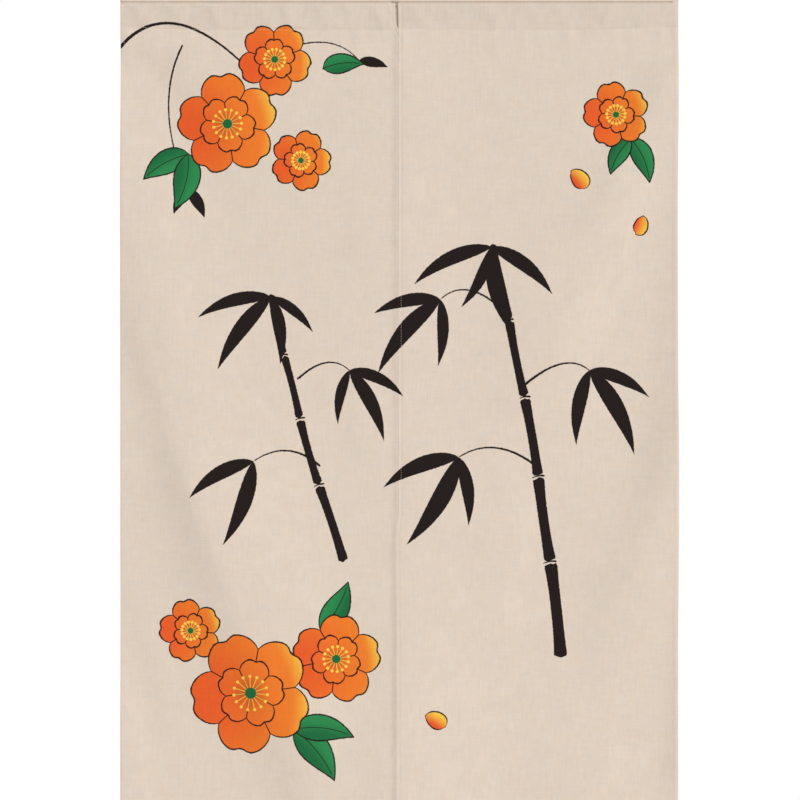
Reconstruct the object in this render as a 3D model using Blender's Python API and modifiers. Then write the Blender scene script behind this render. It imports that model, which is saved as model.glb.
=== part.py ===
"""Split door curtain: two hanging cloth panels sewn to one heading band.

Metres, +Z up. X runs across, the front faces -Y, and the origin is the middle of the top edge.
Tables give sizes in millimetres: across is measured from the middle, drop is measured down from the top edge.
"""

from collections import namedtuple

import bmesh
import bpy
import numpy as np

MM = 0.001

# Driving dimensions, in millimetres
WIDTH = 850.0
DROP = 1224.0
CLOTH = 1.2
HEM_CLOTH = 2.0
SIDE_HEM = 7.0
BOTTOM_HEM = 8.4
TOP_HEM = 5.0
HEM_STEP = 1.0
SEWN_GAP = 0.3

# Heading and rod pocket
PANEL_TOP = 6.4
SEAM_TOP = 43.0
SEAM_BOTTOM = 50.0
POCKET_TOP = 9.5
POCKET_BOTTOM = 42.0
POCKET_DEPTH = 15.0
POCKET_SQUARENESS = 3.0
POCKET_STEPS = 12
STRIP_MARGIN = 1.5
BAND_SAG = 0.7
BAND_SAG_LENGTH = 310.0
BAND_COLUMNS = 26

# Below the seam the right panel's inner edge comes forward and the left one goes back, so they lap
LAP_FORWARD = 1.6
LAP_BACK = 1.6
LAP_START = 51.0
LAP_FULL = 63.0
LAP_EDGE = 10.0
LAP_FADE = 50.0
LAP_ROWS_END = 77.0

# Both panels stand forward along the lap, further towards the hem: a crease close to the right
# panel's edge and a slow rise around it
RIDGE_START = 700.0
RIDGE_FULL = 1100.0
RIDGE_UPPER_HEIGHT = 4.4
RIDGE_LOWER_HEIGHT = 10.0
RIDGE_UPPER_LEFT = 130.0
RIDGE_LOWER_LEFT = 50.0
RIDGE_UPPER_RIGHT = 72.0
RIDGE_LOWER_RIGHT = 118.0
CREASE_REACH = 6.5
CREASE_UPPER_SHARE = 0.42
CREASE_LOWER_SHARE = 0.30

# The right panel's outer corner reaches up over the band, the left panel's inner one is rounded off
RAISED_CORNER_TOP = 1.1
ROUNDED_CORNER_TOP = 9.0

# Cloth hangs flat down to here and is free below
FREE_START = 52.0
FREE_FULL = 100.0

# Mesh spacing
CREASE_COLUMNS = [14.0, 21.0]
COLUMN_COUNT = 23
ROW_COUNT = 46

# Inner edges of the two panels, from the top to the bottom
InnerEdge = namedtuple("InnerEdge", "drop left right")
INNER_EDGES = [
    InnerEdge(drop=6.4, left=-6.3, right=-2.0),
    InnerEdge(drop=17.0, left=-5.7, right=-1.6),
    InnerEdge(drop=26.0, left=-5.1, right=-1.5),
    InnerEdge(drop=35.0, left=-4.6, right=-1.2),
    InnerEdge(drop=42.0, left=-3.9, right=-1.2),
    InnerEdge(drop=46.5, left=-1.9, right=-1.5),
    InnerEdge(drop=63.0, left=-1.9, right=-1.5),
    InnerEdge(drop=77.0, left=5.5, right=-1.5),
    InnerEdge(drop=786.0, left=5.5, right=-1.6),
    InnerEdge(drop=814.0, left=3.5, right=-5.6),
    InnerEdge(drop=876.0, left=3.5, right=-5.4),
    InnerEdge(drop=930.0, left=4.5, right=-4.5),
    InnerEdge(drop=1224.0, left=4.5, right=-4.5),
]

# Folds: a line from start to end, bowed to the right if bow is positive, and how far the cloth
# spreads to the left and right of it; a ridge if depth is positive, a trough if negative
Fold = namedtuple("Fold", "across drop end_across end_drop bow left right depth")
FOLDS = [
    Fold(across=-460, drop=20, end_across=-266, end_drop=340, bow=17, left=60, right=42, depth=-4.6),
    Fold(across=-464, drop=180, end_across=-310, end_drop=600, bow=4, left=50, right=80, depth=4.5),
    Fold(across=-406, drop=440, end_across=-282, end_drop=830, bow=-2, left=34, right=90, depth=6.0),
    Fold(across=-340, drop=690, end_across=-96, end_drop=1270, bow=-10, left=50, right=110, depth=12.0),
    Fold(across=-436, drop=880, end_across=-366, end_drop=1150, bow=0, left=30, right=24, depth=-2.0),
    Fold(across=-434, drop=1060, end_across=-400, end_drop=1260, bow=0, left=24, right=30, depth=1.5),
    Fold(across=-148, drop=900, end_across=-136, end_drop=1160, bow=0, left=24, right=44, depth=1.5),
    Fold(across=492, drop=-30, end_across=278, end_drop=400, bow=-5, left=34, right=60, depth=8.5),
    Fold(across=412, drop=130, end_across=342, end_drop=740, bow=6, left=110, right=56, depth=-9.0),
    Fold(across=334, drop=250, end_across=204, end_drop=600, bow=0, left=80, right=62, depth=6.5),
    Fold(across=474, drop=590, end_across=318, end_drop=1010, bow=-4, left=52, right=80, depth=9.0),
    Fold(across=414, drop=900, end_across=382, end_drop=1270, bow=0, left=90, right=32, depth=-6.6),
    Fold(across=165, drop=660, end_across=148, end_drop=1000, bow=0, left=120, right=42, depth=4.5),
]

CLOTH_COLOUR = (0.730, 0.617, 0.508, 1.0)
CLOTH_ROUGHNESS = 0.9


def smooth(low, high, value):
    """Ease from 0 to 1 between two values."""
    share = np.clip((value - low) / (high - low), 0.0, 1.0)
    return share * share * (3.0 - 2.0 * share)


def bump(offset, left, right):
    """A soft bump, 1 at its line, with its own reach on each side."""
    reach = np.where(offset < 0.0, left, right)
    return np.exp(-((offset / reach) ** 2))


def fold_height(fold, across, drop):
    """How far one fold pushes the cloth forward."""
    run = fold.end_across - fold.across
    fall = fold.end_drop - fold.drop
    length = np.hypot(run, fall)
    along = ((across - fold.across) * run + (drop - fold.drop) * fall) / length**2
    side = ((across - fold.across) * fall - (drop - fold.drop) * run) / length
    offset = side - fold.bow * 4.0 * along * (1.0 - along)
    fade = smooth(-0.2, 0.3, along) * smooth(1.2, 0.7, along)
    return fold.depth * fade * bump(offset, fold.left, fold.right)


def grow(upper, lower, growth):
    """A value that goes from upper to lower as growth goes from 0 to 1."""
    return upper + (lower - upper) * growth


def ridge_height(across, drop):
    """How far both panels stand forward along the lap."""
    growth = smooth(RIDGE_START, RIDGE_FULL, drop)
    height = grow(RIDGE_UPPER_HEIGHT, RIDGE_LOWER_HEIGHT, growth)
    left = grow(RIDGE_UPPER_LEFT, RIDGE_LOWER_LEFT, growth)
    right = grow(RIDGE_UPPER_RIGHT, RIDGE_LOWER_RIGHT, growth)
    share = grow(CREASE_UPPER_SHARE, CREASE_LOWER_SHARE, growth)
    away = across - inner_edge("right", drop)
    crease = bump(away, CREASE_REACH, right)
    rise = bump(away, left, right)
    return height * (share * crease + (1.0 - share) * rise)


def hang_height(across, drop):
    """Forward push of the hanging cloth; none at the pocket, where it is sewn flat."""
    folds = sum(fold_height(fold, across, drop) for fold in FOLDS)
    return (folds + ridge_height(across, drop)) * smooth(FREE_START, FREE_FULL, drop)


def lap_share(across, drop):
    """How much of the lap's push acts near the inner edges, from 0 to 1."""
    return smooth(LAP_START, LAP_FULL, drop) * smooth(LAP_FADE, LAP_EDGE, abs(across))


def inner_edge(side, drop):
    """Where a panel's inner edge lies at a drop."""
    drops = [row.drop for row in INNER_EDGES]
    places = [getattr(row, side) for row in INNER_EDGES]
    return float(np.interp(drop, drops, places))


def spread(start, end, count):
    """Even places after start, up to and with end."""
    return [start + (end - start) * step / count for step in range(1, count + 1)]


def panel_columns():
    """Places across a panel as shares of its width, close together at the sides."""
    width = WIDTH / 2.0
    near = [place / width for place in [0.0, SIDE_HEM, SIDE_HEM + HEM_STEP] + CREASE_COLUMNS]
    far = [1.0 - place for place in near[::-1]]
    return near + spread(near[-1], far[0], COLUMN_COUNT) + far[1:]


def panel_rows():
    """Drops of a panel's rows, from its bottom hem up to its turned top edge."""
    top = [PANEL_TOP, PANEL_TOP + TOP_HEM, PANEL_TOP + TOP_HEM + HEM_STEP]
    pocket = spread(top[-1], SEAM_TOP - HEM_STEP, 3)
    seam = [SEAM_TOP, SEAM_BOTTOM, SEAM_BOTTOM + HEM_STEP]
    lap = spread(seam[-1], LAP_ROWS_END, 6)
    body = spread(lap[-1], DROP - BOTTOM_HEM - HEM_STEP, ROW_COUNT)
    rows = top + pocket + seam + lap + body + [DROP - BOTTOM_HEM, DROP]
    return rows[::-1]


def is_hem(column, row, columns):
    """True where the cloth is folded double or sewn to the band."""
    hem = columns[1]
    at_side = column <= hem or column >= 1.0 - hem
    at_top = row <= PANEL_TOP + TOP_HEM
    at_seam = SEAM_TOP <= row <= SEAM_BOTTOM
    at_bottom = row >= DROP - BOTTOM_HEM
    return at_side or at_top or at_seam or at_bottom


def place_left(column, row):
    """A point on the left panel's face."""
    outer = -WIDTH / 2.0
    across = outer + (inner_edge("left", row) - outer) * column
    forward = SEWN_GAP + HEM_CLOTH + hang_height(across, row) - LAP_BACK * lap_share(across, row)
    in_corner = column == 1.0 and row == PANEL_TOP
    drop = ROUNDED_CORNER_TOP if in_corner else row
    return across, forward, drop


def place_right(column, row):
    """A point on the right panel's face."""
    outer = WIDTH / 2.0
    inner = inner_edge("right", row)
    across = inner + (outer - inner) * column
    forward = SEWN_GAP + HEM_CLOTH + hang_height(across, row) + LAP_FORWARD * lap_share(across, row)
    in_corner = outer - across <= SIDE_HEM and row == PANEL_TOP
    drop = RAISED_CORNER_TOP if in_corner else row
    return across, forward, drop


def band_section():
    """Drop and set-back of the band from its lower edge up: two flat strips joined by the pocket's back."""
    middle = (POCKET_TOP + POCKET_BOTTOM) / 2.0
    half = (POCKET_BOTTOM - POCKET_TOP) / 2.0
    power = 2.0 / POCKET_SQUARENESS
    section = [(SEAM_BOTTOM, 0.0), (POCKET_BOTTOM + STRIP_MARGIN, 0.0)]
    for angle in np.linspace(0.0, np.pi, POCKET_STEPS + 1):
        rise = np.sign(np.cos(angle)) * abs(np.cos(angle)) ** power
        section.append((middle + half * rise, POCKET_DEPTH * abs(np.sin(angle)) ** power))
    section += [(POCKET_TOP - STRIP_MARGIN, 0.0), (0.0, 0.0)]
    return section


def cloth_material(name, colour):
    """Plain matt cloth."""
    material = bpy.data.materials.new(name)
    material.use_nodes = True
    shader = material.node_tree.nodes["Principled BSDF"]
    shader.inputs["Base Color"].default_value = colour
    shader.inputs["Roughness"].default_value = CLOTH_ROUGHNESS
    shader.inputs["Metallic"].default_value = 0.0
    material.diffuse_color = colour
    return material


def cloth_sheet(name, columns, rows, place, doubled, collection):
    """A grid laid on the cloth's face by place, then given its thickness behind that face."""
    mesh = bpy.data.meshes.new(name)
    sheet = bpy.data.objects.new(name, mesh)
    collection.objects.link(sheet)
    group = sheet.vertex_groups.new(name="doubled")
    grid = bmesh.new()
    bmesh.ops.create_grid(grid, x_segments=len(columns) - 1, y_segments=len(rows) - 1, size=0.5)
    weights = grid.verts.layers.deform.verify()
    for vertex in grid.verts:
        column = columns[round((vertex.co.x + 0.5) * (len(columns) - 1))]
        row = rows[round((vertex.co.y + 0.5) * (len(rows) - 1))]
        across, forward, drop = place(column, row)
        vertex.co = (across * MM, -forward * MM, -drop * MM)
        vertex[weights][group.index] = 1.0 if doubled(column, row) else 0.0
    grid.to_mesh(mesh)
    grid.free()
    mesh.shade_smooth()
    mesh.set_sharp_from_angle(angle=np.radians(40.0))
    mesh.materials.append(cloth_material(name, CLOTH_COLOUR))
    thickness = sheet.modifiers.new("Thickness", "SOLIDIFY")
    thickness.thickness = HEM_CLOTH * MM
    thickness.offset = -1.0
    thickness.vertex_group = group.name
    thickness.thickness_vertex_group = CLOTH / HEM_CLOTH
    return sheet


def panel(name, place, collection):
    """One hanging panel with its hems."""
    columns = panel_columns()

    def doubled(column, row):
        return is_hem(column, row, columns)

    return cloth_sheet(name, columns, panel_rows(), place, doubled, collection)


def heading_band(collection):
    """The strip behind both panels, flat where it is sewn and standing back behind the rod."""
    section = band_section()
    columns = [0.0] + spread(0.0, 1.0, BAND_COLUMNS)

    def place(column, row):
        drop, back = section[row]
        across = WIDTH * (column - 0.5)
        sag = BAND_SAG * np.sin(2.0 * np.pi * across / BAND_SAG_LENGTH)
        return across, -back - sag * back / POCKET_DEPTH, drop

    def doubled(column, row):
        return False

    return cloth_sheet("heading_band", columns, range(len(section)), place, doubled, collection)


def main():
    for old in list(bpy.data.objects):
        bpy.data.objects.remove(old, do_unlink=True)
    collection = bpy.data.collections.new("Door curtain")
    bpy.context.scene.collection.children.link(collection)
    panel("panel_left", place_left, collection)
    panel("panel_right", place_right, collection)
    heading_band(collection)


main()
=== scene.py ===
# Split door curtain: folds, sewing, print and cloth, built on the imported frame
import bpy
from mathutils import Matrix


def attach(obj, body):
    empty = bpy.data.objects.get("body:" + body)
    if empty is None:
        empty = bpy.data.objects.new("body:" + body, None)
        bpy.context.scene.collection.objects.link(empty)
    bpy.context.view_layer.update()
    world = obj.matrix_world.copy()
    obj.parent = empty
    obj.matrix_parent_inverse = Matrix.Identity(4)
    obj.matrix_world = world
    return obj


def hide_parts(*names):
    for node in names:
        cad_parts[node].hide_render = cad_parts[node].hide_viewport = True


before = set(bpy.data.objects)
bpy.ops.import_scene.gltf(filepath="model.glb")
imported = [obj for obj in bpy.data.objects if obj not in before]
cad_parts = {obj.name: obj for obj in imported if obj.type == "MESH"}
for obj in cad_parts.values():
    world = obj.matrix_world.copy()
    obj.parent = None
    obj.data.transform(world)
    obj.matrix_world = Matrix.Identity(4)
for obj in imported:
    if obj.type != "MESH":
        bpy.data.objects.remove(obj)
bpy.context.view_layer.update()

import math
from types import SimpleNamespace

import bpy
import numpy as np

mm = 0.001
print("frame loaded:", sorted(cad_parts))


# Camera, face on to the curtain
camera = {
    "lens": 85.0,  # mm
    "sensor": 36.0,  # mm
    "pictureWidth": 1.2186,  # metres of curtain across the picture
    "aim": (0.0009, -0.0025, -0.6108),
}


def deselect():
    bpy.ops.object.select_all(action="DESELECT")


def makeCamera():
    distance = camera["lens"] / camera["sensor"] * camera["pictureWidth"]
    x, y, z = camera["aim"]
    deselect()
    bpy.ops.object.camera_add(location=(x, y - distance, z), rotation=(math.radians(90), 0, 0))
    eye = bpy.context.object
    eye.name = "pictureCamera"
    eye.data.lens = camera["lens"]
    eye.data.sensor_width = camera["sensor"]
    bpy.context.scene.camera = eye


makeCamera()
print("camera placed")


# How the cloth hangs: across is mm from the middle, drop is mm below the top edge, push is mm forward.
# A fold is a line from start to end; left and right say how far the cloth spreads from it on each side.
hang = {"free": (52.0, 100.0)}  # between these drops the folds fade in

folds = [
    dict(start=(-460, 20), end=(-266, 340), bow=17, left=76, right=42, push=-4.8),
    dict(start=(-464, 180), end=(-310, 600), bow=4, left=50, right=80, push=4.5),
    dict(start=(-406, 440), end=(-282, 830), bow=-2, left=34, right=90, push=6.0),
    dict(start=(-330, 690), end=(-94, 1270), bow=-4, left=60, right=135, push=13.5),
    dict(start=(-436, 880), end=(-366, 1150), bow=0, left=30, right=24, push=-2.0),
    dict(start=(-434, 1060), end=(-400, 1260), bow=0, left=24, right=30, push=1.5),
    dict(start=(-148, 900), end=(-136, 1160), bow=0, left=24, right=44, push=1.5),
    dict(start=(434, 90), end=(302, 352), bow=-4, left=34, right=56, push=8.5),
    dict(start=(408, 190), end=(342, 740), bow=6, left=110, right=56, push=-9.0),
    dict(start=(334, 250), end=(204, 600), bow=0, left=80, right=62, push=6.5),
    dict(start=(474, 590), end=(318, 1010), bow=-4, left=52, right=80, push=9.0),
    dict(start=(414, 900), end=(382, 1270), bow=0, left=90, right=32, push=-6.6),
    dict(start=(162, 730), end=(148, 1000), bow=0, left=120, right=42, push=4.5),
]

# soft dents and swells between the folds, too slight for the solids; at is their middle
dents = [
    dict(at=(-60, 345), left=22, right=52, tall=62, push=1.6),
    dict(at=(-56, 640), left=26, right=48, tall=60, push=2.4),
    dict(at=(200, 420), left=24, right=40, tall=70, push=1.2),
    dict(at=(140, 385), left=18, right=40, tall=60, push=1.2),
    dict(at=(70, 480), left=22, right=30, tall=40, push=1.2),
    dict(at=(150, 700), left=20, right=30, tall=50, push=1.0),
    dict(at=(34, 990), left=150, right=84, tall=90, push=3.0),
    dict(at=(212, 1238), left=120, right=70, tall=56, push=-4.0),
]


def ease(low, high, value):
    share = np.clip((value - low) / (high - low), 0.0, 1.0)
    return share * share * (3.0 - 2.0 * share)


def bump(offset, left, right):
    return np.exp(-((offset / np.where(offset < 0, left, right)) ** 2))


def trough(distance, width):
    # the same on both sides
    return np.exp(-((distance / width) ** 2))


def ripples(along, waves):
    # each wave has its height, its length and how far it is shifted
    return sum(height * np.sin(along / length + shift) for height, length, shift in waves)


def foldPush(fold, across, drop):
    run = fold["end"][0] - fold["start"][0]
    fall = fold["end"][1] - fold["start"][1]
    length = math.hypot(run, fall)
    x = across - fold["start"][0]
    z = drop - fold["start"][1]
    along = (x * run + z * fall) / length**2
    offset = (x * fall - z * run) / length - fold["bow"] * 4.0 * along * (1.0 - along)
    fade = ease(-0.2, 0.3, along) * ease(1.2, 0.7, along)
    return fold["push"] * fade * bump(offset, fold["left"], fold["right"])


def dentPush(dent, across, drop):
    level = bump(across - dent["at"][0], dent["left"], dent["right"])
    return dent["push"] * level * trough(drop - dent["at"][1], dent["tall"])


def hangPush(across, drop):
    total = sum(foldPush(fold, across, drop) for fold in folds)
    total = total + sum(dentPush(dent, across, drop) for dent in dents)
    return total * ease(*hang["free"], drop)


# The two panels: outline, hems and the lap at the split
cloth = {"thick": 1.2, "hemThick": 2.0, "sewnGap": 0.3}

panel = {
    "outer": 425.0,
    "top": 6.4,
    "length": 1224.0,
    "sideHem": 7.0,
    "topHem": 5.0,
    "topStitch": 8.2,
    "bottomHem": 8.4,
    "seamTop": 43.0,
    "seamBottom": 50.0,
    "seamLine": 46.5,
    "seamStitch": 46.8,
    "seamLift": 3.6,  # how much higher the seam runs at its outer ends
    "cell": 3.7,
}

# at the split the edges are pressed thin and the right one lies over the left one
lap = {
    "forward": 0.14,
    "back": 0.08,
    "drops": (43.5, 49.5),
    "width": (40.0, 10.0),  # from the middle
    "thin": 0.24,
    "thinDrops": (40.0, 44.0),
    "thinWidth": (16.0, 9.0),  # from the edge
    "dive": 0.6,  # the left panel lies further back once it is hidden
    "hidden": (0.5, 4.0),  # past the right panel's edge
    "swing": (780.0, 820.0),  # here both edges swing to the left
}

# both panels stand forward along the lap, further towards the hem: the left one steeply, the right one gently
ridge = {
    "upper": 4.4,
    "lower": 10.0,
    "starts": 640.0,
    "full": 1100.0,
    "steep": 6.5,
    "slow": 130.0,
    "tighter": 80.0,
    "away": 72.0,
    "wider": 46.0,
    "shift": 2.0,  # lower down the crest lies past the edge
    "edgeShare": 0.42,  # how much of the height is steep, and how much less of it lower down
    "edgeLess": 0.12,
    "edgeDrops": (38.0, 50.0),
}

innerEdges = [  # drop, left panel's edge, right panel's edge
    (6.4, -7.6, -2.2),
    (17.0, -7.0, -1.7),
    (26.0, -6.7, -1.5),
    (33.0, -6.2, -1.4),
    (36.5, -5.7, -1.4),
    (38.5, -5.0, -1.4),
    (40.5, -3.8, -1.4),
    (42.5, -3.0, -1.5),
    (44.5, -2.2, -1.6),
    (46.5, -1.8, -1.8),
    (50.0, 0.6, -1.9),
    (58.0, 4.6, -1.9),
    (68.0, 5.5, -1.9),
    (786.0, 5.5, -1.9),
    (814.0, 3.5, -5.6),
    (876.0, 3.5, -5.4),
    (930.0, 4.5, -4.5),
    (1224.0, 4.5, -4.5),
]


def innerEdge(side, drop):
    column = 1 if side == "left" else 2
    return np.interp(drop, [row[0] for row in innerEdges], [row[column] for row in innerEdges])


def outerEdge(side):
    return -panel["outer"] if side == "left" else panel["outer"]


def hemLines(hem):
    # distances from an edge, close together over the hem
    steps = (-1.2, -0.5, 0.2, 1.0, 2.4, 4.0, 5.8, 8.0)
    return [0.0, 0.5, 1.6, 3.2, 4.6] + [hem + step for step in steps]


def between(start, end, step):
    count = max(1, round((end - start) / step))
    return [start + (end - start) * k / count for k in range(1, count)]


def panelColumns():
    width = panel["outer"]
    near = hemLines(panel["sideHem"])
    far = [width - place for place in reversed(near)]
    return np.array(near + between(near[-1], far[0], panel["cell"]) + far) / width


def panelRows():
    top = [panel["top"] + step for step in (0.0, 0.5, 1.6, 3.2, 4.6, 5.2, 6.2)]
    seam = [panel["seamLine"] + step for step in (-5.5, -3.5, -1.8, -0.8, 0.0, 0.8, 1.8, 3.5, 5.5)]
    near = hemLines(panel["bottomHem"])
    low = [panel["length"] - place for place in reversed(near)]
    upper = between(top[-1], seam[0], 3.0)
    body = between(seam[-1], low[0], panel["cell"])
    return np.array(top + upper + seam + body + low)


# how a hem shows: a soft bead along it, its drawn-in stitch line, puckers and the rounding at the edge;
# lower down, an eased one slopes more gently from its edge to the line
hemWidths = {"bead": 2.5, "line": 1.9, "pucker": 7.5, "round": 0.6}
hemLooks = {
    "left": dict(bead=0.10, beadAt=5.2, line=0.05, lineAt=6.4, round=0.4, pucker=0.05, eased=0.0),
    "right": dict(bead=0.26, beadAt=5.4, line=0.06, lineAt=7.2, round=0.4, pucker=0.06, eased=0.0),
    "split": dict(bead=0.06, beadAt=1.8, line=0.42, lineAt=4.6, round=0.08, pucker=0.06, eased=4.0),
    "bottom": dict(bead=0.10, beadAt=4.0, line=0.14, lineAt=7.9, round=0.4, pucker=0.06, eased=0.0),
}


def hemRelief(look, edgeDistance, along, seed):
    fromLine = edgeDistance - look["lineAt"]
    bead = look["bead"] * trough(edgeDistance - look["beadAt"], hemWidths["bead"])
    gentle = hemWidths["line"] + look["eased"] * ease(*lap["swing"], along)
    line = look["line"] * bump(fromLine, gentle, hemWidths["line"])
    waves = ripples(along, [(1.0, 2.9, seed), (0.8, 4.7, 1.7 * seed), (0.6, 1.9, 3.0 * seed)])
    pucker = look["pucker"] * waves * trough(fromLine, hemWidths["pucker"])
    return bead - line + pucker - look["round"] * trough(edgeDistance, hemWidths["round"])


pocketTucks = [  # slanting tucks where the cloth is drawn round the rod: across at the top edge, push
    (-406, 1.3), (-352, 1.5), (-292, 1.4), (-216, 0.9), (-182, 1.5), (-128, 1.0), (-84, 0.5), (-44, 1.2),
    (14, 0.9), (66, 0.5), (128, 0.8), (196, 0.4), (236, 0.7), (300, 0.4), (352, 0.5), (402, 0.4),
]

pocketLook = {
    "fadeIn": (5.0, 12.0),
    "fadeOut": (47.0, 40.0),
    "slant": 0.45,
    "tuckWidth": (9.0, 15.0),
    "nick": dict(push=0.9, across=-15.4, top=8.0, slant=0.18, width=(2.3, 3.0), middle=15.0, tall=9.0),
}


def pocketRelief(across, drop):
    window = ease(*pocketLook["fadeIn"], drop) * ease(*pocketLook["fadeOut"], drop)
    slanted = across - pocketLook["slant"] * drop
    total = sum(push * bump(slanted - place, *pocketLook["tuckWidth"]) for place, push in pocketTucks)
    fine = ripples(across + 0.5 * drop, [(0.12, 4.3, 0.0)]) + ripples(across + 0.3 * drop, [(0.10, 2.7, 1.3)])
    # a small fold beside the left panel's rounded corner
    nick = pocketLook["nick"]
    fromNick = across - nick["across"] - nick["slant"] * (drop - nick["top"])
    small = nick["push"] * bump(fromNick, *nick["width"]) * trough(drop - nick["middle"], nick["tall"])
    return (total + fine) * window + small


seamLook = {
    "rise": (290.0, 410.0),  # mm from the middle where the seam starts to rise and stops
    "draw": 0.18,
    "topDraw": 0.16,
    "ripple": 0.22,
    "fadeIn": (40.0, 52.0),
    "fadeOut": (120.0, 50.0),
}


def seamAt(across):
    # the pocket's seam runs a little higher towards the outer ends
    return panel["seamStitch"] - panel["seamLift"] * ease(*seamLook["rise"], np.abs(across))


def seamRelief(across, drop):
    # the seam draws the cloth in and small ripples run down from it
    line = seamLook["draw"] * trough(drop - seamAt(across), 1.6)
    topLine = seamLook["topDraw"] * trough(drop - panel["topStitch"], 1.8)
    ripple = ripples(across, [(1.0, 5.6, 0.0), (0.7, 8.3, 2.0), (0.6, 3.7, 0.5)])
    ripple = ripple * ease(*seamLook["fadeIn"], drop) * ease(*seamLook["fadeOut"], drop)
    return seamLook["ripple"] * ripple - line - topLine


hollows = {
    "seed": 5,
    "count": 260,
    "across": (-430, 430),
    "drop": (60, 1230),
    "wide": (10, 26),
    "tall": (14, 46),
    "lean": (-0.5, 0.5),
    "push": (0.15, 0.45),
    "fadeIn": (50.0, 110.0),
}


def unevenness(across, drop):
    # low soft hollows and lifts all over, at random places
    rng = np.random.default_rng(hollows["seed"])
    total = np.zeros(np.shape(across))
    for _ in range(hollows["count"]):
        x, z = rng.uniform(*hollows["across"]), rng.uniform(*hollows["drop"])
        wide, tall = rng.uniform(*hollows["wide"]), rng.uniform(*hollows["tall"])
        lean = rng.uniform(*hollows["lean"])
        lift = rng.choice([-1, 1]) * rng.uniform(*hollows["push"])
        near = (np.abs(drop - z) < 2.5 * tall) & (np.abs(across - x) < 2.5 * (wide + tall * 0.5))
        dz = drop[near] - z
        total[near] += lift * trough(across[near] - x - lean * dz, wide) * trough(dz, tall)
    return total * ease(*hollows["fadeIn"], drop)


def topEdge(side, across):
    # the left panel's inner corner is rounded, the right panel's outer corner reaches up over the band
    if side == "left":
        return panel["top"] + 2.6 * ease(-14.0, -7.6, across) ** 2 - 1.0 * bump(across + 18.0, 3.0, 2.0)
    return panel["top"] - 5.3 * ease(413.5, 421.0, across)


def lapRidge(across, drop):
    growth = ease(ridge["starts"], ridge["full"], drop)
    height = ridge["upper"] + (ridge["lower"] - ridge["upper"]) * growth
    away = across - innerEdge("right", drop) - ridge["shift"] * ease(*lap["swing"], drop)
    steep = ridge["edgeShare"] - ridge["edgeLess"] * growth
    right = ridge["away"] + ridge["wider"] * growth
    slow = ridge["slow"] - ridge["tighter"] * growth
    edgePart = steep * bump(away, ridge["steep"], right) * ease(*ridge["edgeDrops"], drop)
    widePart = (1.0 - steep) * bump(away, slow, right) * ease(*hang["free"], drop)
    return height * (edgePart + widePart)


def panelFace(side, across, drop):
    # forward push of a panel's front face, in mm
    push = cloth["sewnGap"] + cloth["hemThick"] + hangPush(across, drop) + lapRidge(across, drop)
    share = ease(*lap["drops"], drop) * ease(*lap["width"], np.abs(across))
    if side == "left":
        hidden = ease(*lap["hidden"], across - innerEdge("right", drop))
        push = push - (lap["back"] + lap["dive"] * hidden) * share
    else:
        push = push + lap["forward"] * share
    inner = np.abs(across - innerEdge(side, drop))
    outer = panel["outer"] - np.abs(across)
    push = push + hemRelief(hemLooks[side], outer, drop, 1.0)
    push = push + hemRelief(hemLooks["split"], inner, drop, 2.2)
    push = push + hemRelief(hemLooks["bottom"], panel["length"] - drop, across, 3.1)
    push = push + pocketRelief(across, drop) + seamRelief(across, drop)
    return push + unevenness(across, drop)


def panelThickness(inner, outer, drop):
    hem = panel["sideHem"]
    doubled = np.maximum(ease(hem + 0.9, hem, inner), ease(hem + 0.9, hem, outer))
    doubled = np.maximum(doubled, ease(panel["topHem"] + 1.0, panel["topHem"], drop - panel["top"]))
    doubled = np.maximum(doubled, ease(panel["bottomHem"] + 0.9, panel["bottomHem"], panel["length"] - drop))
    seam = ease(panel["seamTop"] - 1.0, panel["seamTop"], drop)
    seam = seam * ease(panel["seamBottom"] + 1.0, panel["seamBottom"], drop)
    doubled = np.maximum(doubled, seam)
    thick = cloth["thick"] + (cloth["hemThick"] - cloth["thick"]) * doubled
    pressed = ease(*lap["thinDrops"], drop) * ease(*lap["thinWidth"], inner)
    return thick + (lap["thin"] - thick) * pressed


def panelGrid(side):
    # across, drop and thickness over the whole panel, rows from the top down
    share, drop = np.meshgrid(panelColumns(), panelRows())
    outer = outerEdge(side)
    inner = innerEdge(side, drop)
    left, right = (outer, inner) if side == "left" else (inner, outer)
    across = left + (right - left) * share
    thick = panelThickness(np.abs(across - inner), np.abs(across - outer), drop)
    top = topEdge(side, across)
    free = panel["top"] + 8.0
    stretched = top + (drop - panel["top"]) * (free - top) / (free - panel["top"])
    shown = np.where(drop < free, stretched, drop)
    return across, drop, shown, thick


def surfaceNormals(points):
    u = np.gradient(points, axis=1)
    v = np.gradient(points, axis=0)
    n = np.cross(u, v)
    return n / np.linalg.norm(n, axis=2, keepdims=True)


def rimLoop(rows, columns):
    # grid places round the edge, anticlockwise from the front, starting at the bottom left
    index = np.arange(rows * columns).reshape(rows, columns)
    return np.concatenate([index[-1, :-1], index[:0:-1, -1], index[0, :0:-1], index[:-1, 0]])


def addMesh(name, points, faces):
    mesh = bpy.data.meshes.new(name)
    mesh.from_pydata((points * mm).tolist(), [], faces)
    mesh.shade_smooth()
    piece = bpy.data.objects.new(name, mesh)
    bpy.context.scene.collection.objects.link(piece)
    return piece


def addAttribute(mesh, name, kind, values):
    data = mesh.attributes.new(name, kind, "POINT").data
    data.foreach_set("vector" if kind == "FLOAT_VECTOR" else "value", values.astype(np.float32).ravel())


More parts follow.
